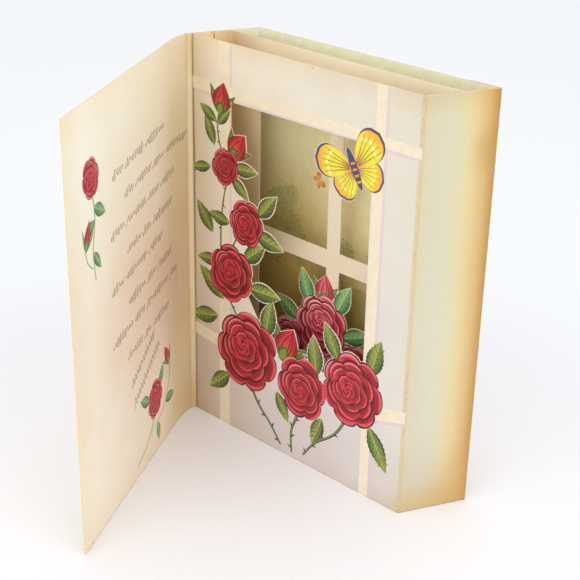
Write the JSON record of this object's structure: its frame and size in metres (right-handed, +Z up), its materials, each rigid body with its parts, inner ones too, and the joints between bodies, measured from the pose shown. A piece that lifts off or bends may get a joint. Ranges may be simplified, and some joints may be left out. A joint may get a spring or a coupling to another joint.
{
  "type": "pop up card",
  "caption": "Shadow box pop up card of folded die cut sheets, standing open, with a cover leaf hinged on its left edge.",
  "frame": {"origin": "centre of the footprint, on the floor that the card stands on, with the cover leaf at rest", "axes": "+X along the front panel away from the cover hinge, +Y from the front panel to the back panel, +Z up"},
  "size_m": [0.1454, 0.1462, 0.19],
  "materials": {
    "toned_card": "matt card with soft age toning",
    "garden_card": "matt card printed in soft greens",
    "cream_card": "matt cream card",
    "blush_card": "matt cream card with a peach blush"
  },
  "bodies": {
    "box": {"front_sheet": "toned_card", "back_sheet": "garden_card", "middle_sheet": "cream_card"},
    "cover": {"cover_leaf": "blush_card"}
  },
  "joints": [
    {"name": "cover_hinge", "type": "hinge", "parent": "box", "child": "cover", "pos_m": [-0.07255, 0.04144, 0.095], "axis": [0, 0, 1], "range_deg": [-118, 62]}
  ]
}
